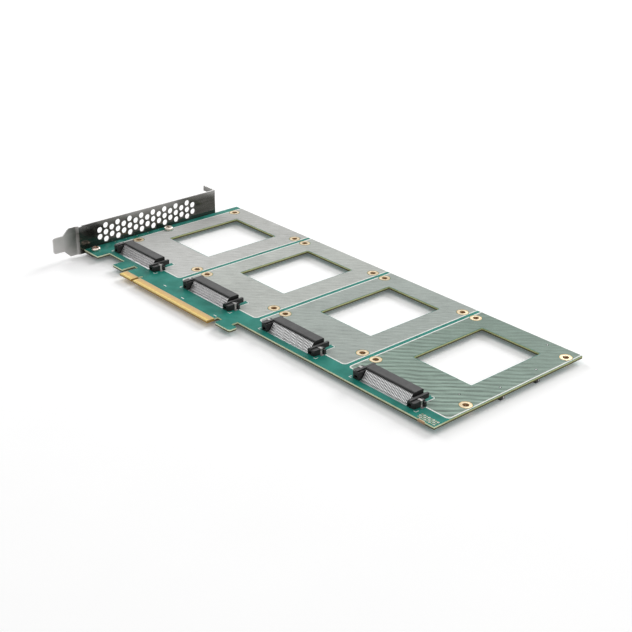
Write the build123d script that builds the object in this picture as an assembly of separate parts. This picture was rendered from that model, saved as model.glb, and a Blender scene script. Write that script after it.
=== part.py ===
# Full-height, full-length expansion card that carries four 2.5 inch drives side by side. Millimetres.
# The card lies component side up. +X runs from the bracket along the card, +Y from the edge
# connector to the far edge, +Z up. The parts are drawn from the card's datums, which are the key
# notch's centre line in X, the edge connector's lower edge in Y and the board's upper face in Z,
# and are then moved so that the origin is under the middle of the card, on what it lies on.
import os
from build123d import *

# How far a cutter runs past the face that it opens, and how closely an edge is looked up by its place
overrun = 1.0
match = 0.01

# Board outline
board_thickness = 1.57
key_width = 1.9
key_depth = 7.7
tab_short_length = 11.65
tab_long_length = 71.65
tab_bevel_height = 0.45
tab_bevel_depth = 0.3
board_gap = 0.29
near_edge = 12.05
edge_margin_right = 4.43
edge_margin_far = 8.05
ear_length = 14.9
ear_bottom = 3.95
recess_length = 16.6
recess_top = 12.6
inner_ear_bottom = 4.2
left_slot_width = 4.0
left_slot_top = 12.9
right_slot_width = 3.9
right_slot_top = 7.7
hook_neck_width = 8.0
hook_head_length = 13.0
hook_bottom = 2.3
hook_head_height = 5.5
hook_radius = 1.2
foil = 0.05

# Drive bays, placed by their mounting holes
bay_count = 4
bay_gap = 9.83
hole_spacing_x = 61.72
hole_spacing_y = 76.6
hole_inset_left = 8.0
hole_inset_near = 26.6
bore_radius = 1.7
barrel_wall = 0.15
pad_radius = 3.4
window_offset_x = 10.5
window_offset_y = 16.7
window_width = 39.9
window_depth = 53.2
window_radius = 0.8

# Printed fields and lines
print_thickness = 0.03
outline_left = 3.05
outline_right = 3.68
outline_near = 16.0
outline_width = 0.8
outline_radius = 2.0
print_clearance = 0.3
loop_line_width = 0.5
loop_gap = 0.6
loop_length = 8.8
loop_width = 3.2
loop_radius = 1.3
mark_width = 0.6
mark_length = 2.4
mark_places = ((18.2, 9.8), (38.6, 7.4), (68.9, 7.4))
test_pad_radius = 0.4
test_pad_pitch = 1.45
test_pad_columns = 8
test_pad_rows = 3
test_pad_margin = 1.6

# Bracket
bracket_offset = 59.05
bracket_sheet = 0.86
bracket_width = 18.42
bracket_length = 122.4
bracket_drop = 2.67
bracket_top = 106.05
bend_radius = 0.4
tongue_width = 10.2
tongue_length = 7.1
taper_length = 4.1
tongue_radius = 1.5
tongue_offset = 1.0
fold_run = 1.6
relief_width = 2.6
relief_depth = 0.7
relief_offset = 7.52
flange_length = 11.4
flange_notch_width = 4.4
flange_notch_depth = 6.4
flange_finger = 3.5
vent_radius = 1.87
vent_column_pitch = 4.44
vent_row_pitch = 4.55
vent_columns = 17
vent_center_y = 51.55
vent_rise = 0.9
foot_width = 9.0
foot_reach = 3.9

# Bracket screws
screw_inset = 5.89
screw_y = 8.75
screw_spacing = 54.55
screw_radius = 1.5
screw_clearance = 0.15
screw_tip = 0.15
head_radius = 2.8
head_height = 2.0
head_round = 0.8
cross_length = 3.4
cross_width = 0.8
cross_depth = 1.1

# Edge contacts
finger_pitch = 1.0
finger_width = 0.7
finger_setback = 0.05
finger_length = 4.8
finger_key_offset = 1.5
finger_margin = 0.7

# Drive connectors, placed from their bay's near left hole
connector_x = 27.5
body_front = -11.0
body_length = 33.4
body_depth = 6.2
body_height = 5.6
body_chamfer = 0.4
slot_wall = 0.5
slot_floor = 2.3
slot_height = 2.2
slot_depth = 5.0
block_width = 4.9
block_depth = 7.4
block_rear = 5.2
left_block_height = 4.2
right_block_height = 3.2
block_radius = 1.4
dimple_radius = 0.5
dimple_depth = 0.8
dimple_pitch = 3.0
dimple_inset = 1.1
dimple_side = 0.73
pocket_wall = 0.9
pocket_width = 2.0
pocket_depth = 1.6
pocket_bottom = 0.5
pocket_height = 1.7
leg_gap = 0.3
leg_width = 1.2
leg_length = 1.2
leg_height = 2.4
arm_inset = 1.1
arm_width = 1.4
arm_rise = 0.7
arm_bottom = 1.2
arm_front = 1.4
rail_height = 2.4
rail_depth = 3.6
lead_pitch = 0.95
lead_width = 0.5
lead_thickness = 0.25
lead_lean = 0.2
lead_tip_gap = 1.2
upper_foot_reach = 4.4
upper_foot_length = 0.8
upper_shoulder = 0.6
lower_foot_reach = 2.6
lower_foot_length = 0.7
lower_shoulder = 0.4
clip_thickness = 0.3
clip_width = 1.4
clip_place = 4.4
clip_foot = 1.1

# Parts under the board
buffer_size = 6.0
buffer_height = 0.9
buffer_x = 34.0
buffer_y = 27.15
bypass_length = 1.6
bypass_width = 0.8
bypass_gap = 1.2
bulk_length = 3.2
bulk_width = 2.5
bulk_height = 1.1
bulk_offset_x = 27.5
bulk_offset_y = 6.0
indicator_height = 2.4
indicator_width = 3.2
indicator_depth = 1.6
indicator_inset = 0.9
terminal_width = 0.7
indicator_rows = (23.0, 50.0)

# Places that follow from the sizes above
bracket_inner = -bracket_offset + bracket_sheet
board_left = bracket_inner + board_gap
bay_pitch = hole_spacing_x + bay_gap
first_hole_x = board_left + hole_inset_left
hole_row = near_edge + hole_inset_near
board_right = first_hole_x + (bay_count - 1) * bay_pitch + hole_spacing_x + edge_margin_right
board_far = hole_row + hole_spacing_y + edge_margin_far
tab_left = -key_width / 2 - tab_short_length
tab_right = key_width / 2 + tab_long_length
bracket_low = -bracket_drop
bracket_high = bracket_low + bracket_width
tongue_tip = bracket_top - bracket_length
root = tongue_tip + tongue_length
shoulder = root + taper_length
relief_near = shoulder + relief_offset - relief_width / 2
under_face = -board_thickness
frame_shift = Location((
    -(board_right - bracket_offset - flange_length) / 2,
    -(board_far + tongue_tip) / 2,
    board_thickness + indicator_height))
bay_places = [(first_hole_x + bay_pitch * bay, hole_row) for bay in range(bay_count)]
screw_places = [(bracket_inner + screw_inset, screw_y), (bracket_inner + screw_inset, screw_y + screw_spacing)]
body_rear = body_front - body_depth
slot_rear = body_front - slot_depth
slot_ceiling = slot_floor + slot_height
slot_length = body_length - 2 * slot_wall
lead_count = int(slot_length / lead_pitch)


def block(x0, x1, y0, y1, z0, z1):
    """A box from its lowest corner to its highest."""
    return Pos((x0 + x1) / 2, (y0 + y1) / 2, (z0 + z1) / 2) * Box(x1 - x0, y1 - y0, z1 - z0)


def disc(x, y, z0, z1, radius):
    """An upright cylinder."""
    return Pos(x, y, (z0 + z1) / 2) * Cylinder(radius, z1 - z0)


def rounded_block(x0, x1, y0, y1, z0, z1, radius):
    """A box with rounded upright edges."""
    shape = block(x0, x1, y0, y1, z0, z1)
    return fillet(shape.edges().filter_by(Axis.Z), radius)


def strip(points, x0, x1):
    """A bent strip: its side outline, as (y, z) points, carried from x0 to x1."""
    outline = Polyline(*[(x0, y, z) for y, z in points], close=True)
    return extrude(make_face(outline), amount=x1 - x0, dir=(1, 0, 0))


def hole_places(x, y):
    """The four mounting holes of the bay whose near left hole is at x, y."""
    return [(x + i * hole_spacing_x, y + j * hole_spacing_y) for j in (0, 1) for i in (0, 1)]


def window_block(x, y, z0, z1, margin=0.0):
    """The bay's window as a cutter, grown by a margin."""
    left = x + window_offset_x
    near = y + window_offset_y
    return rounded_block(left - margin, left + window_width + margin,
                         near - margin, near + window_depth + margin, z0, z1, window_radius + margin)


def save(name, *solids):
    """Writes one node, moved from the card's datums to the frame's origin."""
    placed = [solid.moved(frame_shift) for solid in solids]
    shape = placed[0] if len(placed) == 1 else Compound(children=placed)
    export_step(shape, f"parts/{name}.step")


def board_outline():
    """The board's edge: two ears, the edge connector's tab with its slots, and the retention hook."""
    hook_left = tab_right + right_slot_width
    ear_right = board_left + ear_length
    inner_ear_left = ear_right + recess_length
    head_top = hook_bottom + hook_head_height
    return [
        (board_left, ear_bottom), (ear_right, ear_bottom),
        (ear_right, recess_top), (inner_ear_left, recess_top),
        (inner_ear_left, inner_ear_bottom), (tab_left - left_slot_width, inner_ear_bottom),
        (tab_left - left_slot_width, left_slot_top), (tab_left, left_slot_top),
        (tab_left, 0), (tab_right, 0),
        (tab_right, right_slot_top), (hook_left, right_slot_top),
        (hook_left, hook_bottom), (hook_left + hook_head_length, hook_bottom),
        (hook_left + hook_head_length, head_top), (hook_left + hook_neck_width, head_top),
        (hook_left + hook_neck_width, near_edge), (board_right, near_edge),
        (board_right, board_far), (board_left, board_far)]


def circuit_board():
    """One laminate sheet with its windows, holes, key notch and bevelled tab."""
    outline = make_face(Polyline(*[(x, y, under_face) for x, y in board_outline()], close=True))
    board = extrude(outline, amount=board_thickness, dir=(0, 0, 1))
    hook_left = tab_right + right_slot_width
    hook_right = hook_left + hook_head_length
    head_edges = [edge for edge in board.edges().filter_by(Axis.Z)
                  if abs(edge.center().X - hook_right) < match
                  or (abs(edge.center().X - hook_left) < match and abs(edge.center().Y - hook_bottom) < match)]
    board = fillet(head_edges, hook_radius)
    tab_edges = [edge for edge in board.edges().filter_by(Axis.X) if abs(edge.center().Y) < match]
    side = board.faces().sort_by(Axis.Y)[0]
    board = chamfer(tab_edges, tab_bevel_depth, tab_bevel_height, reference=side)
    low = under_face - overrun
    key_end = key_depth - key_width / 2
    board -= block(-key_width / 2, key_width / 2, -overrun, key_end, low, overrun)
    board -= disc(0, key_end, low, overrun, key_width / 2)
    for x, y in bay_places:
        board -= window_block(x, y, low, overrun)
        for hx, hy in hole_places(x, y):
            board -= disc(hx, hy, low, overrun, bore_radius + barrel_wall)
    for x, y in screw_places:
        board -= disc(x, y, low, overrun, screw_radius + screw_clearance)
    return board


def screw_pads(x, y):
    """The four plated holes of a bay: a barrel with a ring on each face of the board."""
    pads = []
    for hx, hy in hole_places(x, y):
        pad = disc(hx, hy, under_face, 0, bore_radius + barrel_wall)
        pad += disc(hx, hy, 0, foil, pad_radius)
        pad += disc(hx, hy, under_face - foil, under_face, pad_radius)
        pads.append(pad - disc(hx, hy, under_face - overrun, overrun, bore_radius))
    return pads


def outline_loop(x, y, grow, z1):
    """The drive's footprint as a solid: round near corners, and open to the board's far edge."""
    x0 = x - outline_left - grow
    x1 = x + hole_spacing_x + outline_right + grow
    y0 = y - outline_near - grow
    shape = block(x0, x1, y0, board_far, 0, z1)
    near_edges = shape.edges().filter_by(Axis.Z).sort_by(Axis.Y)[0:2]
    return fillet(near_edges, outline_radius + grow)


def print_cutters(x, y):
    """What the print keeps clear of: plated rings, bracket screws, the window and the connector."""
    cutters = [window_block(x, y, -overrun, overrun, print_clearance)]
    for hx, hy in hole_places(x, y):
        cutters.append(disc(hx, hy, -overrun, overrun, pad_radius + print_clearance))
    for sx, sy in screw_places:
        cutters.append(disc(sx, sy, -overrun, overrun, head_radius + print_clearance))
    middle = x + connector_x
    half = body_length / 2 + arm_inset + print_clearance
    front = y + body_front + print_clearance
    cutters.append(block(middle - half, middle + half, front - body_depth, front, -overrun, overrun))
    half = body_length / 2 + block_width + clip_foot + clip_thickness + print_clearance
    front = y + body_rear - block_rear + block_depth + print_clearance
    cutters.append(block(middle - half, middle + half, front - block_depth, front, -overrun, overrun))
    return cutters


def bay_field(x, y):
    """The hatched field that fills the drive's footprint."""
    gap = outline_width / 2
    field = outline_loop(x, y, -gap, print_thickness)
    for cutter in print_cutters(x, y):
        field -= cutter
    field -= loop_cutter(x, y)
    return field.solids()


def bay_outline(x, y):
    """The line along the footprint's sides and near end."""
    line = outline_loop(x, y, outline_width / 2, print_thickness)
    line -= outline_loop(x, y, -outline_width / 2, overrun)
    for cutter in print_cutters(x, y):
        line -= cutter
    return line.solids()


def loop_place(x, y):
    """The left and near limits of the line beside the connector's guide arm."""
    left = x + connector_x + body_length / 2 + arm_inset + arm_width + loop_gap
    return left, y + body_rear - block_rear + block_depth + print_clearance


def loop_cutter(x, y):
    """The room that the field leaves for that line."""
    left, near = loop_place(x, y)
    return block(left - loop_width, left + loop_line_width, near, near + loop_length, -overrun, overrun)


def loop_line(x, y):
    """A printed line beside the guide arm, turned round the arm's end."""
    left, near = loop_place(x, y)
    right = left + loop_line_width
    top = near + loop_length
    outer = block(right - loop_width, right, near, top, 0, print_thickness)
    outer = fillet(outer.edges().filter_by(Axis.Z).group_by(Axis.Y)[-1], loop_radius)
    return outer - block(left - loop_width, left, near - overrun, top - loop_line_width, -overrun, overrun)


def strip_marks():
    """Short printed bars on the bare strip between the bays and the edge connector."""
    return [block(x, x + mark_length, y, y + mark_width, 0, print_thickness) for x, y in mark_places]


def test_pads():
    """Round test pads in the near right corner."""
    right = board_right - test_pad_margin
    low = near_edge + test_pad_margin
    return [disc(right - i * test_pad_pitch, low + j * test_pad_pitch, 0, foil, test_pad_radius)
            for i in range(test_pad_columns) for j in range(test_pad_rows)]


def finger_offsets(tab_length):
    """How far from the key's centre line the fingers lie on a stretch of the tab."""
    room = key_width / 2 + tab_length - finger_margin - finger_width / 2 - finger_key_offset
    return [finger_key_offset + i * finger_pitch for i in range(int(room / finger_pitch) + 1)]


def edge_contacts(z0, z1):
    """The plated fingers of one face of the edge connector."""
    centers = [-offset for offset in finger_offsets(tab_short_length)] + finger_offsets(tab_long_length)
    half = finger_width / 2
    bottom = tab_bevel_height + finger_setback
    return [block(x - half, x + half, bottom, bottom + finger_length, z0, z1) for x in sorted(centers)]


def plate_outline():
    """The bracket's plate as (y, z) points, from the bend to the tongue and back."""
    middle = (bracket_low + bracket_high) / 2
    half = tongue_width / 2
    relief_far = relief_near + relief_width
    relief_low = bracket_high - relief_depth
    return [
        (bracket_top, bracket_low), (shoulder, bracket_low), (root, middle - half),
        (tongue_tip, middle - half), (tongue_tip, middle + half), (root, middle + half),
        (shoulder, bracket_high), (relief_near, bracket_high), (relief_near, relief_low),
        (relief_far, relief_low), (relief_far, bracket_high), (bracket_top, bracket_high)]


def folded_sheet():
    """The sheet seen from its edge, as wide as the plate: its tongue stands a little further out."""
    outer = -bracket_offset
    fold_far = min(relief_near, screw_y - foot_width / 2)
    fold_near = fold_far - fold_run
    points = [
        (outer, bracket_top), (outer, fold_far), (outer - tongue_offset, fold_near),
        (outer - tongue_offset, tongue_tip), (bracket_inner - tongue_offset, tongue_tip),
        (bracket_inner - tongue_offset, fold_near), (bracket_inner, fold_far), (bracket_inner, bracket_top)]
    outline = Polyline(*[(x, y, bracket_low) for x, y in points], close=True)
    return extrude(make_face(outline), amount=bracket_width, dir=(0, 0, 1))


def vent_places():
    """The vent holes' (y, z) places: columns of two and three in turn, half a row apart."""
    middle = (bracket_low + bracket_high) / 2 + vent_rise
    places = []
    for column in range(vent_columns):
        rows = (-0.5, 0.5) if column % 2 == 0 else (-1, 0, 1)
        y = vent_center_y + (column - (vent_columns - 1) / 2) * vent_column_pitch
        places += [(y, middle + row * vent_row_pitch) for row in rows]
    return places


def bracket():
    """One folded sheet: vented plate with a tongue, a notched top flange and two feet."""
    outer = -bracket_offset
    plate = strip(plate_outline(), outer - tongue_offset, bracket_inner)
    tip_edges = plate.edges().filter_by(Axis.X).group_by(Axis.Y)[0]
    plate = fillet(tip_edges, tongue_radius) & folded_sheet()
    flange_tip = outer - flange_length
    plate += block(flange_tip, bracket_inner, bracket_top - bracket_sheet, bracket_top,
                   bracket_low, bracket_high)
    notch_high = bracket_high - flange_finger
    notch_radius = flange_notch_width / 2
    notch_end = flange_tip + flange_notch_depth - notch_radius
    plate -= block(flange_tip - overrun, notch_end, bracket_top - bracket_sheet - overrun,
                   bracket_top + overrun, notch_high - flange_notch_width, notch_high)
    round_end = Pos(notch_end, bracket_top, notch_high - notch_radius) * Rot(90, 0, 0)
    plate -= round_end * Cylinder(notch_radius, 2 * (bracket_sheet + overrun))
    bend = [edge for edge in plate.edges().filter_by(Axis.Z)
            if abs(edge.center().Y - bracket_top) < match and abs(edge.center().X - bracket_inner) < match]
    plate = fillet(bend, bend_radius + bracket_sheet)
    bend = [edge for edge in plate.edges().filter_by(Axis.Z)
            if abs(edge.center().Y - bracket_top + bracket_sheet) < match
            and abs(edge.center().X - outer) < match]
    plate = fillet(bend, bend_radius)
    for y, z in vent_places():
        plate -= Pos(outer, y, z) * Rot(0, 90, 0) * Cylinder(vent_radius, 2 * (bracket_sheet + overrun))
    for x, y in screw_places:
        plate += rounded_foot(x, y)
        plate -= disc(x, y, under_face - bracket_sheet - overrun, overrun, screw_radius)
    return plate


def rounded_foot(x, y):
    """A foot bent in under the board, with round free corners."""
    foot = block(bracket_inner - bracket_sheet / 2, x + foot_reach, y - foot_width / 2, y + foot_width / 2,
                 under_face - bracket_sheet, under_face)
    free_edges = foot.edges().filter_by(Axis.Z).group_by(Axis.X)[-1]
    return fillet(free_edges, tongue_radius)


def bracket_screw(x, y):
    """A pan-head screw from the board's upper face into the bracket's foot."""
    head = disc(x, y, 0, head_height, head_radius)
    head = fillet(head.edges().group_by(Axis.Z)[-1], head_round)
    half_long = cross_length / 2
    half_wide = cross_width / 2
    low = head_height - cross_depth
    head -= block(x - half_long, x + half_long, y - half_wide, y + half_wide, low, head_height + overrun)
    head -= block(x - half_wide, x + half_wide, y - half_long, y + half_long, low, head_height + overrun)
    return head + disc(x, y, under_face - bracket_sheet - screw_tip, 0, screw_radius)


def end_block(x, y, side, height):
    """One end of the connector's housing: a post with a pocket, a guide arm, a low rail and a leg."""
    inner = x + connector_x + side * body_length / 2
    outer = inner + side * block_width
    rear = y + body_rear - block_rear
    x0, x1 = sorted((inner, outer))
    post = block(x0, x1, rear, rear + block_depth, 0, height)
    corner = [edge for edge in post.edges().filter_by(Axis.Z)
              if abs(edge.center().Y - rear) < match and abs(edge.center().X - outer) < match]
    post = fillet(corner, block_radius)
    for i in range(2):
        post -= disc(inner + side * dimple_side, rear + dimple_inset + i * dimple_pitch,
                     height - dimple_depth, height + overrun, dimple_radius)
    p0, p1 = sorted((inner + side * pocket_wall, inner + side * (pocket_wall + pocket_width)))
    post -= block(p0, p1, rear - overrun, rear + pocket_depth, pocket_bottom, pocket_bottom + pocket_height)
    a0, a1 = sorted((inner + side * arm_inset, inner + side * (arm_inset + arm_width)))
    top = height + arm_rise
    ridge = block(a0, a1, rear, rear + block_depth, height, top)
    arm = block(a0, a1, rear + block_depth, y + body_front + arm_front, arm_bottom, top)
    r0, r1 = sorted((inner, inner + side * arm_inset))
    rail = block(r0, r1, rear + block_depth, rear + block_depth + rail_depth, 0, rail_height)
    l0, l1 = sorted((outer, outer + side * leg_width))
    leg_near = rear + clip_place + clip_width + leg_gap
    leg = block(l0, l1, leg_near, leg_near + leg_length, 0, leg_height)
    return post + ridge + arm + rail + leg


def connector_housing(x, y):
    """The moulded housing: body with the mating slot, lead passages and two ends."""
    middle = x + connector_x
    half = body_length / 2
    body = block(middle - half, middle + half, y + body_rear, y + body_front, 0, body_height)
    body = chamfer(body.edges().filter_by(Axis.X).group_by(Axis.Z)[-1], body_chamfer)
    body += end_block(x, y, -1, left_block_height)
    body += end_block(x, y, 1, right_block_height)
    half = slot_length / 2
    mouth = y + body_front + overrun
    body -= block(middle - half, middle + half, y + slot_rear, mouth, slot_floor, slot_ceiling)
    for low in (slot_floor, slot_ceiling - lead_thickness):
        body -= block(middle - half, middle + half, y + body_rear - overrun, y + slot_rear + overrun,
                      low, low + lead_thickness)
    return body


def lead_row(x, y, foot_reach_out, foot_length, set_back, level):
    """One row of bent leads: foot on the board, riser, and a straight run into the slot at a level."""
    rear = y + body_rear
    tip = y + body_front - lead_tip_gap
    foot = rear - foot_reach_out
    t = lead_thickness
    outline = [
        (foot, 0), (foot, t), (foot + foot_length, t), (rear - set_back, level + t), (tip, level + t),
        (tip, level), (rear - set_back + lead_lean, level), (foot + foot_length + lead_lean, 0)]
    first = x + connector_x - (lead_count - 1) / 2 * lead_pitch - lead_width / 2
    lead = strip(outline, first, first + lead_width)
    return [Pos(i * lead_pitch, 0, 0) * lead for i in range(lead_count)]


def connector_leads(x, y):
    """Both rows of leads of one connector."""
    upper = lead_row(x, y, upper_foot_reach, upper_foot_length, upper_shoulder, slot_ceiling - lead_thickness)
    lower = lead_row(x, y, lower_foot_reach, lower_foot_length, lower_shoulder, slot_floor)
    return upper, lower


def hold_down(x, y, side, height):
    """A bent metal clip: over the end post, down its outer face and out along the board."""
    inner = x + connector_x + side * body_length / 2
    outer = inner + side * block_width
    near = y + body_rear - block_rear + clip_place
    t = clip_thickness
    pieces = [(inner + side * (arm_inset + arm_width), outer + side * t, height, height + t),
              (outer, outer + side * t, 0, height + t),
              (outer, outer + side * (t + clip_foot), 0, t)]
    clip = None
    for x0, x1, z0, z1 in pieces:
        piece = block(min(x0, x1), max(x0, x1), near, near + clip_width, z0, z1)
        clip = piece if clip is None else clip + piece
    return clip


def clock_buffer():
    """The flat clock chip under the board."""
    half = buffer_size / 2
    return block(buffer_x - half, buffer_x + half, buffer_y - half, buffer_y + half,
                 under_face - buffer_height, under_face)


def bypass_capacitors():
    """Small capacitors round the clock chip."""
    reach = buffer_size / 2 + bypass_gap
    parts = []
    for side in (-1, 1):
        for i in (-1, 0, 1):
            x = buffer_x + side * reach
            y = buffer_y + i * (bypass_length + bypass_gap)
            parts.append(block(x - bypass_width / 2, x + bypass_width / 2, y - bypass_length / 2,
                               y + bypass_length / 2, under_face - bypass_width, under_face))
    return parts


def bulk_capacitors():
    """One block capacitor for each bay, under the board."""
    parts = []
    for x, y in bay_places:
        cx = x + bulk_offset_x
        cy = y + bulk_offset_y
        parts.append(block(cx - bulk_length / 2, cx + bulk_length / 2, cy - bulk_width / 2,
                           cy + bulk_width / 2, under_face - bulk_height, under_face))
    return parts


def end_indicators():
    """Two tall parts under the right edge: dark bodies, each with a light terminal in its outer face."""
    bodies = []
    terminals = []
    right = board_right - indicator_inset
    for row in indicator_rows:
        y = hole_row + row
        body = block(right - indicator_depth, right, y - indicator_width / 2, y + indicator_width / 2,
                     under_face - indicator_height, under_face)
        terminal = block(right - terminal_width, right, y + indicator_width / 4 - terminal_width / 2,
                         y + indicator_width / 4 + terminal_width / 2,
                         under_face - indicator_height + terminal_width / 2, under_face)
        bodies.append(body - terminal)
        terminals.append(terminal)
    return bodies, terminals


os.makedirs("parts", exist_ok=True)
save("circuit_board", circuit_board())
save("bracket", bracket())
save("bracket_screw_near", bracket_screw(*screw_places[0]))
save("bracket_screw_far", bracket_screw(*screw_places[1]))
save("edge_contacts_upper", *edge_contacts(0, foil))
save("edge_contacts_lower", *edge_contacts(under_face - foil, under_face))
for number, place in enumerate(bay_places, 1):
    upper_leads, lower_leads = connector_leads(*place)
    save(f"connector_{number}_housing", connector_housing(*place))
    save(f"connector_{number}_upper_leads", *upper_leads)
    save(f"connector_{number}_lower_leads", *lower_leads)
    save(f"connector_{number}_hold_downs", hold_down(*place, -1, left_block_height),
         hold_down(*place, 1, right_block_height))
    save(f"bay_{number}_screw_pads", *screw_pads(*place))
    save(f"bay_{number}_field", *bay_field(*place))
    save(f"bay_{number}_outline", *bay_outline(*place), loop_line(*place))
save("strip_marks", *strip_marks())
save("test_pads", *test_pads())
save("clock_buffer", clock_buffer())
save("bypass_capacitors", *bypass_capacitors())
save("bulk_capacitors", *bulk_capacitors())
indicator_bodies, indicator_terminals = end_indicators()
save("end_indicator_bodies", *indicator_bodies)
save("end_indicator_terminals", *indicator_terminals)
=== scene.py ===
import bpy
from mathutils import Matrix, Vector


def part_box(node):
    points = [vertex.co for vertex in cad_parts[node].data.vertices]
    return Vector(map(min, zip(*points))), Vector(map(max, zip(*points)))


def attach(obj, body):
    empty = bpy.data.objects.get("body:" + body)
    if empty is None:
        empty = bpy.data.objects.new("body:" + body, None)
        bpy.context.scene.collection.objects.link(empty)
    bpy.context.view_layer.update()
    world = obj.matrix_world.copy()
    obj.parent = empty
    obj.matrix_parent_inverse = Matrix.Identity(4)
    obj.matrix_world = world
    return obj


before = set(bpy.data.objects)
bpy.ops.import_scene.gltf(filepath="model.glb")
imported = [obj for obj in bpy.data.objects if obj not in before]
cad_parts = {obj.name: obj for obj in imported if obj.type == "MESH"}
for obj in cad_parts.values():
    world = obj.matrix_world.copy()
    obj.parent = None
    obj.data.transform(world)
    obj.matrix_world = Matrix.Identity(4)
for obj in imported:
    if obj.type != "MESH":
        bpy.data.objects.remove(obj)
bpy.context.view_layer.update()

import math
import bmesh
import bpy
from mathutils import Matrix, Vector

# Lengths below are millimetres in the part's frame, and MM turns them into scene metres
MM = 0.001

# The photograph's view
camera_place = (474.3, -405.71, 289.3)
camera_aim = (25.95, -3.75, 3.97)
camera_roll = 0.77
camera_lens = 69.05

# Light: the sky's strength, and round lamps with their places and their power in watts
sky_horizon = 0.22
sky_zenith = 0.56
lamps = (
    ("back_lamp", (-450.0, 2560.0, 1500.0), 60.0), ("left_lamp", (-2590.0, 230.0, 1500.0), 30.0),
    ("right_lamp", (2590.0, 230.0, 1500.0), 8.0))
lamp_size = 1500.0

# The floor glows for the camera, and more with distance, until it is as white as the sky
floor_size = 6000.0
floor_colour = (1.0, 1.0, 1.0)
floor_glow = 0.092
floor_near = 350.0
floor_far = 1900.0

# Each bay's print: its colour, made paler and greyer from bay 4 to bay 1 by a painted sheen, how strong
# its streaks and its wavy bands are, how much the bands fade towards the far side, and how much darker it
# is there
field_looks_and_painted_sheen = [
    ((0.56, 0.575, 0.525), 0.17, 0.04, 0.0, 0.16),
    ((0.465, 0.485, 0.455), 0.19, 0.05, 0.0, 0.03),
    ((0.355, 0.395, 0.367), 0.2, 0.09, 0.5, 0.0),
    ((0.24, 0.322, 0.272), 0.16, 0.46, 1.0, 0.14)]

# The card's own layout, and the sizes of its small marks
bay_count = 4
lead_width = 0.5
via_radius = 0.3
via_pitch = 1.9
test_pad_radius = 0.4
print_height = 0.03
rim_width = 0.4
skin_height = 0.01
board_low, board_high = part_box("circuit_board")
board_top = board_high[2] / MM
board_under = board_low[2] / MM
contacts_low, contacts_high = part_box("edge_contacts_upper")
tongue_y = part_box("bracket")[0][1] / MM
plate_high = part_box("bracket")[1][2] / MM

# The board's near edge to the right of the edge tab, the row of painted spots of light beside the
# bracket, lit through its lowest vents, and the sight marks in the last bay
near_edge_y = -41.425
light_spot_row_y = -27.91
light_spot_pitch = 8.2
sight_mark_places = ((131.0, 65.8), (144.8, 39.5), (145.4, 11.2), (137.0, -9.3))

# Directions: along the card, across it, upwards, and those of the print and the leads. The print's
# streaks run along level_direction, which is level in the photograph, and slope_direction is square to it
rightward = (1.0, 0.0, 0.0)
farward = (0.0, 1.0, 0.0)
upward = (0.0, 0.0, 1.0)
diagonal = (0.707, 0.707, 0.0)
level_direction = (0.7, 0.71, 0.0)
slope_direction = (0.71, -0.7, 0.0)
nearward = (0.25, -1.0, 0.0)
hatch_direction = (0.94, 0.34, 0.0)
lead_direction = (0.0, 0.25, 1.0)


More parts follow.
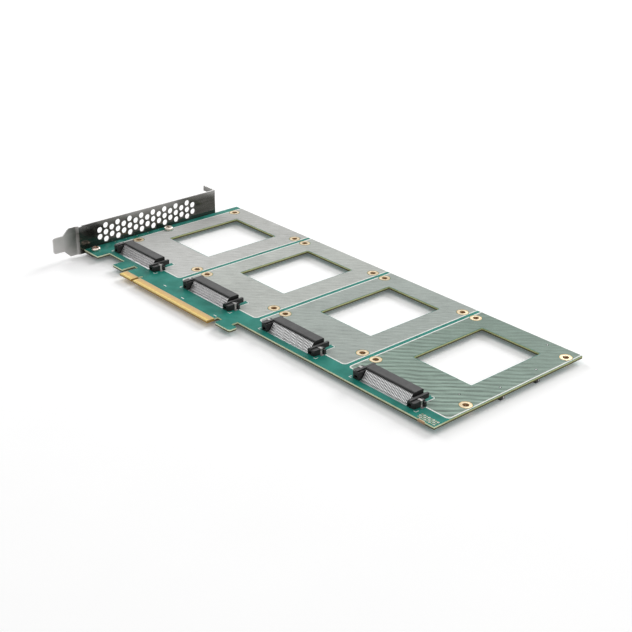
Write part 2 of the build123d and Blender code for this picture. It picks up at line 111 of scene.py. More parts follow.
class Finish:
    """One procedural material: a Principled shader and the nodes that feed it."""

    def __init__(self, name, roughness, metallic=0.0, specular=0.5):
        self.material = bpy.data.materials.new(name)
        self.material.use_nodes = True
        self.tree = self.material.node_tree
        self.shader = self.tree.nodes["Principled BSDF"]
        self.set("Roughness", roughness)
        self.set("Metallic", metallic)
        self.set("Specular IOR Level", specular)
        place = self.tree.nodes.new("ShaderNodeTexCoord").outputs["Object"]
        self.place = self.vector("MULTIPLY", place, (1 / MM,) * 3)

    def set(self, name, value):
        self.shader.inputs[name].default_value = value

    def feed(self, name, socket):
        self.tree.links.new(socket, self.shader.inputs[name])

    def node(self, kind, inputs, **settings):
        made = self.tree.nodes.new(kind)
        for key, value in settings.items():
            setattr(made, key, value)
        for key, value in inputs.items():
            if isinstance(value, bpy.types.NodeSocket):
                self.tree.links.new(value, made.inputs[key])
            else:
                made.inputs[key].default_value = value
        return made

    def vector(self, operation, a, b):
        return self.node("ShaderNodeVectorMath", {0: a, 1: b}, operation=operation).outputs[0]

    def along(self, direction):
        """The place in millimetres, measured along a direction."""
        inputs = {0: self.place, 1: direction}
        return self.node("ShaderNodeVectorMath", inputs, operation="DOT_PRODUCT").outputs["Value"]

    def math(self, operation, a, b=0.0):
        return self.node("ShaderNodeMath", {0: a, 1: b}, operation=operation).outputs[0]

    def remap(self, value, low, high, to_low=0.0, to_high=1.0):
        inputs = {"Value": value, "From Min": low, "From Max": high, "To Min": to_low, "To Max": to_high}
        return self.node("ShaderNodeMapRange", inputs).outputs["Result"]

    def soft(self, cloud, to_low=0.0, to_high=1.0):
        """Spreads the middle of a noise over a range, with soft steps."""
        return self.remap(cloud, 0.3, 0.7, to_low, to_high)

    def firm(self, cloud, to_low=0.0, to_high=1.0):
        """Spreads the middle of a noise over a range, with firmer steps."""
        return self.remap(cloud, 0.35, 0.65, to_low, to_high)

    def noise(self, period, detail=2.0, stretch=(1.0, 1.0, 1.0)):
        """Cloudy noise whose blotches are about one period wide."""
        place = self.vector("MULTIPLY", self.place, stretch)
        inputs = {"Vector": place, "Scale": 1 / period, "Detail": detail}
        return self.node("ShaderNodeTexNoise", inputs).outputs["Fac"]

    def lines(self, direction, period, sharpness=0.5, sway=0.0, sway_period=20.0):
        """Parallel lines square to a direction: 1 on the line, 0 between. Sway bends them."""
        phase = self.math("MULTIPLY", self.along(direction), 2 * math.pi / period)
        if sway:
            phase = self.math("ADD", phase, self.soft(self.noise(sway_period, 1.0), -sway, sway))
        return self.remap(self.math("SINE", phase), -sharpness, sharpness)

    def grain(self, along, length, across, width, detail=3.0):
        """Streaks of a length along one direction and a width across it."""
        streak = self.node("ShaderNodeCombineXYZ", {
            0: self.math("MULTIPLY", self.along(along), 1 / length),
            1: self.math("MULTIPLY", self.along(across), 1 / width)}).outputs[0]
        inputs = {"Vector": streak, "Scale": 1.0, "Detail": detail}
        return self.node("ShaderNodeTexNoise", inputs).outputs["Fac"]

    def mix(self, factor, a, b):
        made = self.tree.nodes.new("ShaderNodeMix")
        made.data_type = "RGBA"
        for socket, value in zip((made.inputs["Factor"], made.inputs[6], made.inputs[7]), (factor, a, b)):
            if isinstance(value, bpy.types.NodeSocket):
                self.tree.links.new(value, socket)
            elif isinstance(value, tuple):
                socket.default_value = (*value, 1.0)
            else:
                socket.default_value = value
        return made.outputs[2]

    def bump(self, height, strength, distance):
        """Relief of a height texture, with its depth in millimetres."""
        inputs = {"Height": height, "Strength": strength, "Distance": distance * MM}
        self.feed("Normal", self.node("ShaderNodeBump", inputs).outputs["Normal"])

    def facing(self, direction, low, high):
        """1 where a face looks along a direction or against it, 0 where it lies along it."""
        normal = self.tree.nodes.new("ShaderNodeNewGeometry").outputs["Normal"]
        inputs = {0: normal, 1: direction}
        share = self.node("ShaderNodeVectorMath", inputs, operation="DOT_PRODUCT").outputs["Value"]
        return self.remap(self.math("ABSOLUTE", share), low, high)


def paint(material, *nodes):
    """Gives CAD nodes a material in place of their plain one."""
    for name in nodes:
        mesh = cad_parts[name].data
        mesh.materials.clear()
        mesh.materials.append(material)


def solder_mask():
    """Green solder mask on the level faces, bare laminate on the tab and the cut edges."""
    mask_dark = (0.01, 0.175, 0.135)
    mask_light = (0.03, 0.255, 0.205)
    laminate = (0.53, 0.56, 0.28)
    laminate_painted_light = (0.88, 0.97, 0.72)
    laminate_painted_shade = (0.085, 0.075, 0.025)
    amber = (0.72, 0.54, 0.24)
    amber_low = (0.95, 0.78, 0.3)
    amber_side = (0.42, 0.25, 0.07)
    tab_margin = 1.0
    bevel_height = 0.6
    finish = Finish("solder_mask", 0.38, specular=0.1)
    x = finish.along(rightward)
    y = finish.along(farward)

    cloud = finish.noise(9.0, 3.0)
    mask = finish.mix(finish.firm(cloud), mask_dark, mask_light)
    bundle = finish.remap(finish.noise(16.0, 1.0), 0.5, 0.56)
    across = finish.lines(rightward, 1.3, 0.3)
    slanting = finish.lines(diagonal, 1.5, 0.3)
    traces = finish.mix(finish.remap(cloud, 0.48, 0.52), across, slanting)
    traces = finish.math("MULTIPLY", traces, bundle)
    mask = finish.mix(finish.math("MULTIPLY", traces, 0.25), mask, mask_light)

    # The tab is bare laminate, with a bevel along its edge
    tab_left = contacts_low[0] / MM
    tab_right = contacts_high[0] / MM
    tab_top = contacts_high[1] / MM
    tab_edge = board_low[1] / MM
    bare = finish.remap(y, tab_top - 0.05, tab_top + 0.05, 1.0, 0.0)
    bare = finish.math("MULTIPLY", bare, finish.math("GREATER_THAN", x, tab_left - tab_margin))
    bare = finish.math("MULTIPLY", bare, finish.math("LESS_THAN", x, tab_right + tab_margin))
    bevel = finish.remap(y, tab_edge, tab_edge + bevel_height, 1.0, 0.0)
    face = finish.mix(bare, mask, finish.mix(bevel, amber, amber_low))

    # The cut edge carries painted shade on its lower part and painted light above, and more painted light
    # on the near side of the card
    thickness = board_top - board_under
    glass = finish.noise(0.5, 2.0, (1.0, 1.0, 6.0))
    height = finish.math("ADD", finish.along(upward), finish.soft(glass, -0.12, 0.12))
    height = finish.remap(height, board_under + 0.36 * thickness, board_under + 0.56 * thickness)
    # Painted light on the near side's edges, fading along the card
    near = finish.remap(y, tab_edge + 16.0, tab_edge + 24.0, 1.0, 0.0)
    near = finish.math("MULTIPLY", near, finish.remap(x, tab_left, tab_right + 60.0, 1.0, 0.65))
    edge = finish.mix(height, laminate_painted_shade, finish.mix(near, laminate, laminate_painted_light))
    edge = finish.mix(bare, edge, amber_side)
    finish.feed("Base Color", finish.mix(finish.facing(upward, 0.4, 0.8), edge, face))
    relief = finish.math("ADD", finish.math("MULTIPLY", finish.noise(0.8, 2.0), 0.4), traces)
    finish.bump(relief, 0.15, 0.04)
    return finish.material


def hatched_field(number, tone, streaks, bands, fade, fall):
    """Fine pale print over the green mask: level streaks, and wavy bands where it is thin."""
    finish = Finish(f"hatched_field_{number}", 0.45, specular=0.12)
    streak = finish.grain(level_direction, 7.0, slope_direction, 0.6, 5.0)
    band = finish.lines(slope_direction, 3.9, 0.7, 1.9, 24.0)
    ripple = finish.grain(level_direction, 13.0, slope_direction, 1.5, 2.0)
    band = finish.math("ADD", finish.math("MULTIPLY", band, 0.55), finish.firm(ripple, 0.0, 0.45))
    near = finish.remap(finish.along(nearward), -30.0, 55.0, 1.0 - 0.8 * fade, 1.0)
    fine = finish.lines(hatch_direction, 0.6, 1.0)
    amount = 0.5
    for shade in (
            finish.soft(streak, -streaks, streaks),
            finish.math("MULTIPLY", near, finish.remap(band, 0.0, 1.0, -bands, bands)),
            finish.soft(finish.noise(22.0, 3.0), -0.06, 0.06),
            finish.remap(finish.along(farward), -10.0, 60.0, 0.0, -fall),
            finish.soft(finish.noise(0.7, 2.0), -0.07, 0.07),
            finish.remap(fine, 0.0, 1.0, -0.03, 0.03)):
        amount = finish.math("ADD", shade, amount)
    # The tone is the print's colour with a painted sheen in it, paler and greyer from bay 4 to bay 1
    dark = tuple(channel * 0.5 for channel in tone)
    light = tuple(min(channel * 1.5, 0.8) for channel in tone)
    finish.feed("Base Color", finish.mix(amount, dark, light))
    finish.bump(fine, 0.2, 0.02)
    return finish.material


def white_ink():
    """Matt white print."""
    finish = Finish("white_ink", 0.6)
    grain = finish.soft(finish.noise(0.3, 3.0))
    finish.feed("Base Color", finish.mix(grain, (0.72, 0.73, 0.69), (0.86, 0.86, 0.83)))
    return finish.material


def plated_gold(name, colour, shade, roughness):
    """Gold plating with fine wipe marks; the walls of a hole are brown with painted shade, darker towards
    the bottom.
    """
    wall_painted_shade = (0.32, 0.17, 0.08)
    wall_high = (0.62, 0.4, 0.2)
    finish = Finish(name, roughness)
    wipe = finish.noise(1.2, 3.0, (1.0, 0.2, 1.0))
    face = finish.mix(finish.firm(wipe), shade, colour)
    # Painted shade down the hole's walls, darkest at the bottom
    wall = finish.mix(finish.remap(finish.along(upward), board_under, board_top), wall_painted_shade, wall_high)
    level = finish.facing(upward, 0.4, 0.8)
    finish.feed("Base Color", finish.mix(level, wall, face))
    finish.feed("Metallic", finish.math("MULTIPLY", level, 0.9))
    finish.feed("Roughness", finish.soft(wipe, roughness - 0.06, roughness + 0.1))
    finish.bump(wipe, 0.08, 0.02)
    return finish.material


def contact_plating():
    """Gold fingers: a tan zone of wear at their upper ends, bright yellow down to the bevel."""
    gold = (0.74, 0.5, 0.17)
    tan = (0.56, 0.39, 0.22)
    yellow = (0.98, 0.78, 0.27)
    finish = Finish("contact_gold", 0.34, 0.9)
    low, high = contacts_low[1] / MM, contacts_high[1] / MM
    length = high - low
    wipe = finish.noise(2.2, 3.0, (1.0, 0.3, 1.0))
    y = finish.math("ADD", finish.along(farward), finish.soft(wipe, -0.5, 0.5))
    wear_and_painted_top_light = finish.mix(finish.remap(y, low + 0.3 * length, high - 0.5), gold, tan)
    bright = finish.remap(y, low + 0.1 * length, low + 0.3 * length, 0.8, 0.0)
    finish.feed("Base Color", finish.mix(bright, wear_and_painted_top_light, yellow))
    finish.feed("Roughness", finish.soft(wipe, 0.28, 0.42))
    finish.bump(wipe, 0.08, 0.02)
    return finish.material


def dark_nickel():
    """Dark bright plating of the bracket, with rolling streaks: painted reflections make the tongue, the
    shoulder and a band under the top edge paler, and a painted highlight brightens the top rim.
    """
    dark = (0.08, 0.078, 0.068)
    pale = (0.56, 0.55, 0.54)
    rim_painted_highlight = (0.95, 0.94, 0.93)
    finish = Finish("dark_nickel", 0.14, 0.8)
    streak = finish.noise(1.5, 4.0, (1.0, 0.08, 1.0))

    # How far from the tongue's tip, and how far below the top rim
    reach = finish.math("SUBTRACT", finish.along(farward), tongue_y)
    height = finish.along(upward)
    depth = finish.math("SUBTRACT", plate_high, height)
    # Painted reflection: the tongue, the shoulder, a band under the top edge and, slightly, the plate
    # towards its far end are mixed towards pale
    tongue = finish.remap(reach, 7.0, 17.0, 1.0, 0.0)
    shoulder = finish.math("ADD", reach, finish.math("MULTIPLY", height, 1.3))
    shoulder = finish.remap(shoulder, 16.0, 36.0, 0.85, 0.05)
    near_end = finish.remap(reach, 16.5, 18.5, 1.0, 0.0)
    amount = finish.math("MAXIMUM", tongue, finish.math("MULTIPLY", shoulder, near_end))
    amount = finish.math("MAXIMUM", amount, finish.remap(depth, 0.5, 5.0, 0.4, 0.0))
    amount = finish.math("MAXIMUM", amount, finish.remap(reach, 15.0, 120.0, 0.0, 0.12))
    amount = finish.math("ADD", amount, finish.soft(streak, -0.05, 0.05))
    amount = finish.math("ADD", amount, finish.soft(finish.noise(14.0, 2.0), -0.04, 0.04))
    # Painted highlight along the top rim
    top = finish.remap(depth, 0.6, 1.2, 1.0, 0.0)
    rim = finish.math("MULTIPLY", finish.facing(upward, 0.5, 0.9), top)
    finish.feed("Base Color", finish.mix(rim, finish.mix(amount, dark, pale), rim_painted_highlight))
    rough = finish.remap(near_end, 0.0, 1.0, 0.13, 0.36)
    finish.feed("Roughness", finish.math("ADD", rough, finish.soft(streak, -0.03, 0.06)))
    finish.bump(streak, 0.1, 0.01)
    return finish.material


def bright_metal(name, colour, shade, roughness):
    """Plain bright metal with fine tone changes."""
    finish = Finish(name, roughness, 1.0)
    grain = finish.noise(0.6, 3.0)
    finish.feed("Base Color", finish.mix(finish.firm(grain), shade, colour))
    finish.feed("Roughness", finish.soft(grain, roughness - 0.05, roughness + 0.08))
    finish.bump(grain, 0.1, 0.02)
    return finish.material


def bent_leads(name, dark, light, flank_shade_share):
    """Tinned leads: painted shade on the flanks, so the gaps between them show dark, and rows of lighter
    and darker bands.
    """
    finish = Finish(name, 0.42, 0.9)
    row = finish.lines(lead_direction, 1.25, 0.7)
    stain = finish.remap(finish.noise(2.5, 2.0), 0.3, 0.6, 0.45, 1.0)
    face = finish.mix(finish.math("MULTIPLY", row, stain), light, dark)
    flank_shade = tuple(flank_shade_share * channel for channel in dark)
    # Painted shade on the flanks, where the leads face each other across the gaps
    finish.feed("Base Color", finish.mix(finish.facing(rightward, 0.4, 0.7), face, flank_shade))
    grain = finish.noise(0.5, 3.0)
    finish.feed("Roughness", finish.soft(grain, 0.36, 0.5))
    finish.bump(grain, 0.1, 0.02)
    return finish.material


def moulded(name, colour, shade, roughness, specular=0.5, top=1.0):
    """Moulded plastic with a fine grain. Its level faces may be paler by the factor top, as painted light
    from above.
    """
    finish = Finish(name, roughness, specular=specular)
    grain = finish.noise(0.25, 3.0)
    cloud = finish.firm(finish.noise(5.0, 2.0))
    wall = finish.mix(cloud, shade, colour)
    # Painted light: the level faces are paler by the factor top
    wear_and_painted_top_light = finish.mix(cloud, tuple(top * c for c in shade), tuple(top * c for c in colour))
    finish.feed("Base Color", finish.mix(finish.facing(upward, 0.5, 0.9), wall, wear_and_painted_top_light))
    finish.feed("Roughness", finish.soft(grain, roughness - 0.06, roughness + 0.06))
    finish.bump(grain, 0.25, 0.03)
    return finish.material


def bevelled(width, *nodes):
    """Softens the sharp edges of CAD nodes by a narrow bevel."""
    for name in nodes:
        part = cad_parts[name]
        weld = part.modifiers.new("weld", "WELD")
        weld.merge_threshold = 0.001 * MM
        bevel = part.modifiers.new("bevel", "BEVEL")
        bevel.width = width * MM
        bevel.segments = 2
        bevel.limit_method = "ANGLE"
        bevel.angle_limit = math.radians(35)


def solids_of(name):
    """The lowest and highest corners, in millimetres, of each separate solid of a node."""
    mesh = bmesh.new()
    mesh.from_mesh(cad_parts[name].data)
    bmesh.ops.remove_doubles(mesh, verts=mesh.verts, dist=0.001 * MM)
    left = set(mesh.verts)
    boxes = []
    while left:
        reached = [left.pop()]
        places = []
        while reached:
            vert = reached.pop()
            places.append(vert.co / MM)
            fresh = {edge.other_vert(vert) for edge in vert.link_edges} & left
            left -= fresh
            reached.extend(fresh)
        low = Vector([min(place[i] for place in places) for i in range(3)])
        high = Vector([max(place[i] for place in places) for i in range(3)])
        boxes.append((low, high))
    mesh.free()
    return sorted(boxes, key=lambda box: tuple(box[0]))


class Piece:
    """One added mesh piece, built up from small solids whose places are in millimetres."""

    def __init__(self, name, slot, material):
        self.name = name
        self.slot = slot
        self.material = material
        self.mesh = bmesh.new()

    def prism(self, outline, start, reach):
        """A solid: a closed outline of 3-D points, carried along reach."""
        first = [Vector(point) + Vector(start) for point in outline]
        near = [self.mesh.verts.new(point * MM) for point in first]
        far = [self.mesh.verts.new((point + Vector(reach)) * MM) for point in first]
        self.mesh.faces.new(near[::-1])
        self.mesh.faces.new(far)
        for i in range(len(outline)):
            j = (i + 1) % len(outline)
            self.mesh.faces.new((near[i], near[j], far[j], far[i]))

    def slab(self, low, high):
        """A box between two corners."""
        x0, y0, z0 = low
        x1, y1, z1 = high
        self.prism([(x0, y0, 0), (x1, y0, 0), (x1, y1, 0), (x0, y1, 0)], (0, 0, z0), (0, 0, z1 - z0))

    def disc(self, x, y, z0, z1, radius, sides=16):
        """A round plate."""
        turns = [2 * math.pi * i / sides for i in range(sides)]
        outline = [(x + radius * math.cos(a), y + radius * math.sin(a), 0) for a in turns]
        self.prism(outline, (0, 0, z0), (0, 0, z1 - z0))

    def ring(self, x, y, z0, z1, inner, outer, sides=20):
        """A flat ring."""
        turns = [2 * math.pi * i / sides for i in range(sides)]
        rows = []
        for radius, z in ((inner, z0), (outer, z0), (outer, z1), (inner, z1)):
            places = [Vector((x + radius * math.cos(a), y + radius * math.sin(a), z)) for a in turns]
            rows.append([self.mesh.verts.new(place * MM) for place in places])
        for lower, upper in zip(rows, rows[1:] + rows[:1]):
            for i in range(sides):
                j = (i + 1) % sides
                self.mesh.faces.new((lower[i], lower[j], upper[j], upper[i]))

    def box_line(self, low, high, z0, z1, width):
        """A printed rectangle's four sides."""
        x0, y0 = low
        x1, y1 = high
        in_x0, in_y0 = x0 + width, y0 + width
        in_x1, in_y1 = x1 - width, y1 - width
        for a, b in (((x0, y0), (x1, in_y0)), ((x0, in_y1), (x1, y1)),
                     ((x0, in_y0), (in_x0, in_y1)), ((in_x1, in_y0), (x1, in_y1))):
            self.slab((*a, z0), (*b, z1))

    def done(self):
        """Writes the mesh, gives it its finish and lets it ride with the card."""
        bmesh.ops.recalc_face_normals(self.mesh, faces=self.mesh.faces)
        data = bpy.data.meshes.new(self.name)
        self.mesh.to_mesh(data)
        self.mesh.free()
        data.materials.append(self.material)
        piece = bpy.data.objects.new(self.name, data)
        bpy.context.collection.objects.link(piece)
        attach(piece, "root")


def lead_joints(number, tin):
    """The solder that each lead's foot stands in: a pad on the board with a fillet up the toe."""
    joints = Piece(f"connector_{number}_lead_joints", "lead_tin", tin)
    spread = 0.08
    clear = 0.02
    slope = ((-0.7, 0), (-0.65, 0.04), (-0.3, 0.08), (-clear, 0.22), (-clear, 0))
    for row in ("upper", "lower"):
        for low, high in solids_of(f"connector_{number}_{row}_leads"):
            outline = [(0, low.y + y, z) for y, z in slope]
            joints.prism(outline, (low.x - spread, 0, board_top), (lead_width + 2 * spread, 0, 0))
    joints.done()


def clip_joints(number, tin):
    """The soldered pads under the feet of the two clips that hold the connector down."""
    joints = Piece(f"connector_{number}_clip_joints", "lead_tin", tin)
    inward, outward, before, behind = 1.1, 0.5, 0.7, 0.25
    clear = 0.01
    rise = 0.16
    for side, (low, high) in zip((-1, 1), solids_of(f"connector_{number}_hold_downs")):
        edge = low.x if side < 0 else high.x
        x0, x1 = sorted((edge - side * inward, edge + side * outward))
        for y0, y1 in ((low.y - before, low.y - clear), (high.y + clear, high.y + behind)):
            joints.slab((x0, y0, board_top), (x1, y1, board_top + rise / 2))
        x0, x1 = sorted((edge + side * clear, edge + side * outward))
        joints.slab((x0, low.y - clear, board_top), (x1, high.y + clear, board_top + rise))
    joints.done()


def via_rows(gold, hole):
    """Plated vias under the board, in two rows in front of each connector."""
    rings = Piece("via_rings", "pad_gold", gold)
    holes = Piece("via_holes", "indicator_moulding", hole)
    first_row, row_pitch = 1.6, 0.9
    z0, z1 = board_under - 0.02, board_under
    for number in range(1, bay_count + 1):
        low, high = (Vector(corner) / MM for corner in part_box(f"connector_{number}_upper_leads"))
        for i in range(int((high.x - low.x) / via_pitch)):
            x = low.x + (i + 0.75) * via_pitch
            y = low.y - first_row - row_pitch * (i % 2)
            rings.ring(x, y, z0, z1, 0.5 * via_radius, via_radius, 12)
            # A dark disc painted as the shade inside the via
            holes.disc(x, y, z0, z1, 0.45 * via_radius, 10)
    rings.done()
    holes.done()


def screw_pad_rims(gold):
    """The darker rim of each screw pad, from wear."""
    rims = Piece("screw_pad_rims", "pad_gold", gold)
    for number in range(1, bay_count + 1):
        for low, high in solids_of(f"bay_{number}_screw_pads"):
            radius = (high.x - low.x) / 2
            x, y = low.x + radius, low.y + radius
            rims.ring(x, y, high.z, high.z + skin_height, radius - rim_width, radius, 40)
    rims.done()


def painted_vent_light_spots(tin):
    """Painted spots of light, from the bracket's lowest vents, in a row on the strip beside it: round tin
    discs.
    """
    dots = Piece("painted_vent_light_spots", "lead_tin", tin)
    count, radius, thickness = 5, 0.45, 0.04
    x = board_low[0] / MM + 1.3
    for i in range(count):
        dots.disc(x, light_spot_row_y + i * light_spot_pitch, board_top, board_top + thickness, radius)
    dots.done()


def sight_marks(tin, hole):
    """Small round sight marks in the last bay: a bright dot in a dark ring."""
    rings = Piece("sight_mark_rings", "indicator_moulding", hole)
    dots = Piece("sight_mark_dots", "lead_tin", tin)
    dot_radius, ring_inner, ring_outer = 0.33, 0.35, 0.75
    z0, z1 = board_top + 0.02, board_top + 0.05
    for x, y in sight_mark_places:
        rings.ring(x, y, z0, z1, ring_inner, ring_outer)
        dots.disc(x, y, z0, z1, dot_radius)
    rings.done()
    dots.done()


def test_pad_marks(ink, hole):
    """Printed rings round the test pads and the dark hole in each."""
    rings = Piece("test_pad_rings", "white_print", ink)
    holes = Piece("test_pad_holes", "indicator_moulding", hole)
    inner, outer = test_pad_radius + 0.04, test_pad_radius + 0.2
    hole_radius = 0.55 * test_pad_radius
    for i, (low, high) in enumerate(solids_of("test_pads")):
        x, y = (low.x + high.x) / 2, (low.y + high.y) / 2
        # A dark disc painted as the shade inside the test pad's hole
        holes.disc(x, y, high.z, high.z + skin_height, hole_radius)
        if i % 2:
            rings.ring(x, y, board_top, board_top + print_height, inner, outer)
    rings.done()
    holes.done()


def edge_plating(gold):
    """A short plated stretch of the near edge beside the right corner, turned over onto the top."""
    plating = Piece("edge_plating", "pad_gold", gold)
    set_back, length, inset, lap, skin = 10.5, 4.6, 0.3, 0.45, 0.03
    x0 = board_high[0] / MM - set_back
    x1 = x0 + length
    y = near_edge_y
    plating.slab((x0, y - skin, board_under), (x1, y, board_top))
    plating.slab((x0 + inset, y, board_top), (x1 - inset, y + lap, board_top + skin))
    plating.done()


def connector_marks(ink):
    """Printed corners beside each connector's ends."""
    marks = Piece("connector_marks", "white_print", ink)
    width, length = 0.35, 1.8
    left_gap, right_gap, near_gap = 0.2, 0.9, 0.5
    z0, z1 = board_top, board_top + print_height
    for number in range(1, bay_count + 1):
        low, high = (Vector(corner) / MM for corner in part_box(f"connector_{number}_housing"))
        y = low.y - near_gap
        for x, side in ((low.x - left_gap, 1), (high.x + right_gap, -1)):
            x0, x1 = sorted((x, x + side * length))
            marks.slab((x0, y - width, z0), (x1, y, z1))
            x0, x1 = sorted((x, x + side * width))
            marks.slab((x0, y, z0), (x1, y + length, z1))
    marks.done()


def chip_pins(tin):
    """Short flat pins on the four sides of the clock chip."""
    pins = Piece("clock_buffer_pins", "lead_tin", tin)
    low, high = (Vector(corner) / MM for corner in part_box("clock_buffer"))
    count, pitch, width, reach, overlap, depth = 8, 0.65, 0.3, 0.7, 0.1, 0.12
    middle = (low + high) / 2
    for i in range(count):
        offset = (i - (count - 1) / 2) * pitch
        for side in (-1, 1):
            y = middle.y + offset
            edge = high.x if side > 0 else low.x
            x0, x1 = sorted((edge - side * overlap, edge + side * reach))
            pins.slab((x0, y - width / 2, board_under - depth), (x1, y + width / 2, board_under))
            x = middle.x + offset
            edge = high.y if side > 0 else low.y
            y0, y1 = sorted((edge - side * overlap, edge + side * reach))
            pins.slab((x - width / 2, y0, board_under - depth), (x + width / 2, y1, board_under))
    pins.done()


def capacitor_ends(tin):
    """Tinned ends of the capacitors under the board, with a little solder on their pads."""
    ends = Piece("capacitor_ends", "lead_tin", tin)
    skin = 0.02
    cap = 0.05
    for name, share in (("bypass_capacitors", 0.25), ("bulk_capacitors", 0.2)):
        for low, high in solids_of(name):
            size = high - low
            axis = 0 if size.x > size.y else 1
            other = 1 - axis
            band = share * size[axis]
            first, last = low[axis], high[axis]
            for start, stop in ((first - cap, first + band), (last - band, last + cap)):
                a, b = low.copy(), high.copy()
                a[axis], b[axis] = start, stop
                a[other] -= skin
                b[other] += skin
                a.z -= skin
                ends.slab(a, b)
    ends.done()


def underside_marks(ink):
    """Printed outlines round the parts under the board."""
    marks = Piece("underside_outlines", "white_print", ink)
    margin, width = 0.6, 0.2
    both_bypass = tuple(Vector(corner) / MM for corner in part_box("bypass_capacitors"))
    for low, high in [both_bypass] + solids_of("bulk_capacitors"):
        marks.box_line((low.x - margin, low.y - margin), (high.x + margin, high.y + margin),
                       board_under - print_height, board_under, width)
    marks.done()


def seen_directly(tree):
    """1 for what the camera sees itself, in a mirror or through glass, 0 for diffuse light."""
    path = tree.nodes.new("ShaderNodeLightPath")
    seen = path.outputs["Is Camera Ray"]
    for ray in ("Is Glossy Ray", "Is Transmission Ray"):
        either = tree.nodes.new("ShaderNodeMath")
        either.operation = "MAXIMUM"
        tree.links.new(seen, either.inputs[0])
        tree.links.new(path.outputs[ray], either.inputs[1])
        seen = either.outputs[0]
    return seen


def studio():
    """White sky, large soft lamps and a pale floor that keeps the shadow."""
    world = bpy.data.worlds.new("studio")
    world.use_nodes = True
    bpy.context.scene.world = world
    tree = world.node_tree
    sky = tree.nodes["Background"]
    sky.inputs["Color"].default_value = (1.0, 1.0, 1.0, 1.0)
    direction = tree.nodes.new("ShaderNodeTexCoord").outputs["Generated"]
    height = tree.nodes.new("ShaderNodeSeparateXYZ")
    tree.links.new(direction, height.inputs[0])
    light = tree.nodes.new("ShaderNodeMapRange")
    tree.links.new(height.outputs["Z"], light.inputs["Value"])
    light.inputs["To Min"].default_value = sky_horizon
    light.inputs["To Max"].default_value = sky_zenith
    strength = tree.nodes.new("ShaderNodeMix")
    tree.links.new(seen_directly(tree), strength.inputs["Factor"])
    tree.links.new(light.outputs["Result"], strength.inputs["A"])
    strength.inputs["B"].default_value = 1.0
    tree.links.new(strength.outputs["Result"], sky.inputs["Strength"])

    for name, place, power in lamps:
        lamp = bpy.data.lights.new(name, "AREA")
        lamp.shape = "DISK"
        lamp.size = lamp_size * MM
        lamp.energy = power
        holder = bpy.data.objects.new(name, lamp)
        holder.location = Vector(place) * MM
        holder.rotation_euler = (-holder.location).to_track_quat("-Z", "Y").to_euler()
        bpy.context.collection.objects.link(holder)

    half = floor_size / 2 * MM
    corners = [(-half, -half, 0), (half, -half, 0), (half, half, 0), (-half, half, 0)]
    mesh = bpy.data.meshes.new("floor")
    mesh.from_pydata(corners, [], [(0, 1, 2, 3)])
    floor = bpy.data.objects.new("floor", mesh)
    bpy.context.collection.objects.link(floor)
    finish = Finish("floor", 0.9, specular=0.0)
    speck = finish.noise(40.0)
    darker = tuple(channel * 0.98 for channel in floor_colour)
    finish.feed("Base Color", finish.mix(speck, floor_colour, darker))
    finish.set("Emission Color", (1.0, 1.0, 1.0, 1.0))
    reach = finish.node("ShaderNodeVectorMath", {0: finish.place}, operation="LENGTH").outputs["Value"]
    faded = finish.remap(reach, floor_near, floor_far, floor_glow, 1.0)
    glow = finish.math("MULTIPLY", seen_directly(finish.tree), faded)
    finish.feed("Emission Strength", glow)
    mesh.materials.append(finish.material)


def camera():
    """The photograph's view of the card."""
    lens = bpy.data.cameras.new("camera")
    lens.lens = camera_lens
    lens.clip_start = 0.01
    lens.clip_end = 20.0
    holder = bpy.data.objects.new("camera", lens)
    place = Vector(camera_place) * MM
    look = (Vector(camera_aim) * MM - place).to_track_quat("-Z", "Y").to_matrix().to_4x4()
    roll = Matrix.Rotation(math.radians(camera_roll), 4, "Z")
    holder.matrix_world = Matrix.Translation(place) @ look @ roll
    bpy.context.collection.objects.link(holder)
    bpy.context.scene.camera = holder


bpy.context.scene.view_settings.view_transform = "Standard"
camera()
studio()

copper = bright_metal("copper_screw", (0.95, 0.84, 0.76), (0.74, 0.6, 0.5), 0.25)
nickel = bright_metal("nickel_screw", (0.95, 0.87, 0.78), (0.74, 0.65, 0.56), 0.25)
ink = white_ink()
pad_gold = plated_gold("pad_gold", (0.76, 0.65, 0.46), (0.6, 0.48, 0.31), 0.4)
worn_gold = plated_gold("worn_gold", (0.6, 0.42, 0.22), (0.5, 0.34, 0.18), 0.45)
# The housing's level faces are 2.7 times paler, as painted light from above
housing = moulded("connector_moulding", (0.026, 0.026, 0.026), (0.018, 0.018, 0.018), 0.42, 0.3, 2.7)
chip = moulded("chip_moulding", (0.03, 0.03, 0.032), (0.022, 0.022, 0.024), 0.5)
ceramic = moulded("capacitor_ceramic", (0.3, 0.2, 0.12), (0.22, 0.15, 0.09), 0.5)
indicator = moulded("indicator_moulding", (0.025, 0.025, 0.026), (0.018, 0.018, 0.018), 0.35)
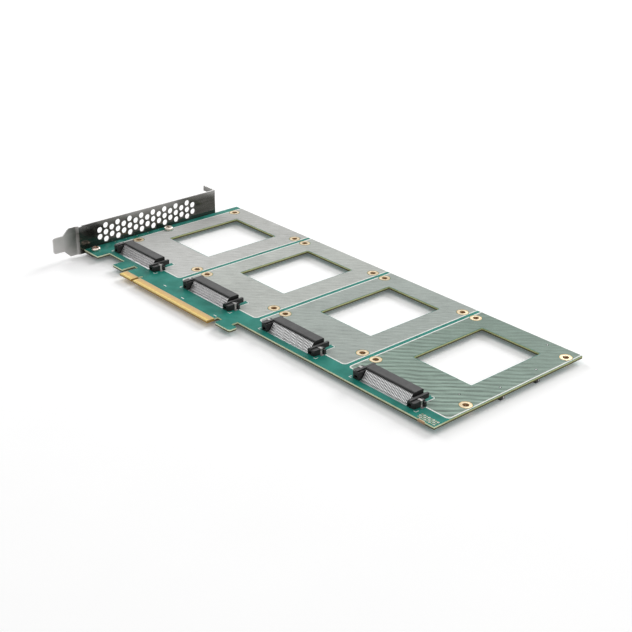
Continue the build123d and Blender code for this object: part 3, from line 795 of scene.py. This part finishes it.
# Dark discs painted as the shade inside holes; the sight marks' dark rings use it too
hole = moulded("hole_shade", (0.02, 0.05, 0.035), (0.012, 0.03, 0.02), 0.6, 0.1)
tin = bright_metal("lead_tin", (0.86, 0.84, 0.85), (0.7, 0.68, 0.69), 0.42)
solder = bright_metal("solder", (0.5, 0.5, 0.5), (0.34, 0.34, 0.35), 0.38)
clip = bright_metal("clip_steel", (0.6, 0.59, 0.58), (0.42, 0.41, 0.4), 0.3)
# One tinned lead finish in two copies, darker for bays 1 and 2 by painted shade, lighter for bays 3 and 4
# by painted light
leads_in_painted_shade = bent_leads("leads_in_painted_shade", (0.42, 0.41, 0.42), (0.86, 0.85, 0.85), 0.22)
leads_in_painted_light = bent_leads("leads_in_painted_light", (0.5, 0.5, 0.5), (1.0, 1.0, 1.0), 0.35)

paint(solder_mask(), "circuit_board")
paint(dark_nickel(), "bracket")
paint(copper, "bracket_screw_near")
paint(nickel, "bracket_screw_far")
paint(contact_plating(), "edge_contacts_upper", "edge_contacts_lower")
paint(ink, "strip_marks")
paint(pad_gold, "test_pads")
paint(chip, "clock_buffer")
paint(ceramic, "bypass_capacitors", "bulk_capacitors")
paint(indicator, "end_indicator_bodies")
paint(tin, "end_indicator_terminals")
for number in range(1, bay_count + 1):
    # Bays 1 and 2 take the copy with painted shade, bays 3 and 4 the copy with painted light
    leads = leads_in_painted_shade if number <= 2 else leads_in_painted_light
    paint(hatched_field(number, *field_looks_and_painted_sheen[number - 1]), f"bay_{number}_field")
    paint(ink, f"bay_{number}_outline")
    paint(pad_gold, f"bay_{number}_screw_pads")
    paint(housing, f"connector_{number}_housing")
    paint(leads, f"connector_{number}_upper_leads", f"connector_{number}_lower_leads")
    paint(clip, f"connector_{number}_hold_downs")
    bevelled(0.12, f"connector_{number}_housing")
    lead_joints(number, solder)
    clip_joints(number, solder)
bevelled(0.1, "bracket", "bracket_screw_near", "bracket_screw_far", "end_indicator_bodies")
via_rows(pad_gold, hole)
screw_pad_rims(worn_gold)
painted_vent_light_spots(tin)
sight_marks(tin, hole)
test_pad_marks(ink, hole)
edge_plating(pad_gold)
connector_marks(ink)
chip_pins(tin)
capacitor_ends(tin)
underside_marks(ink)
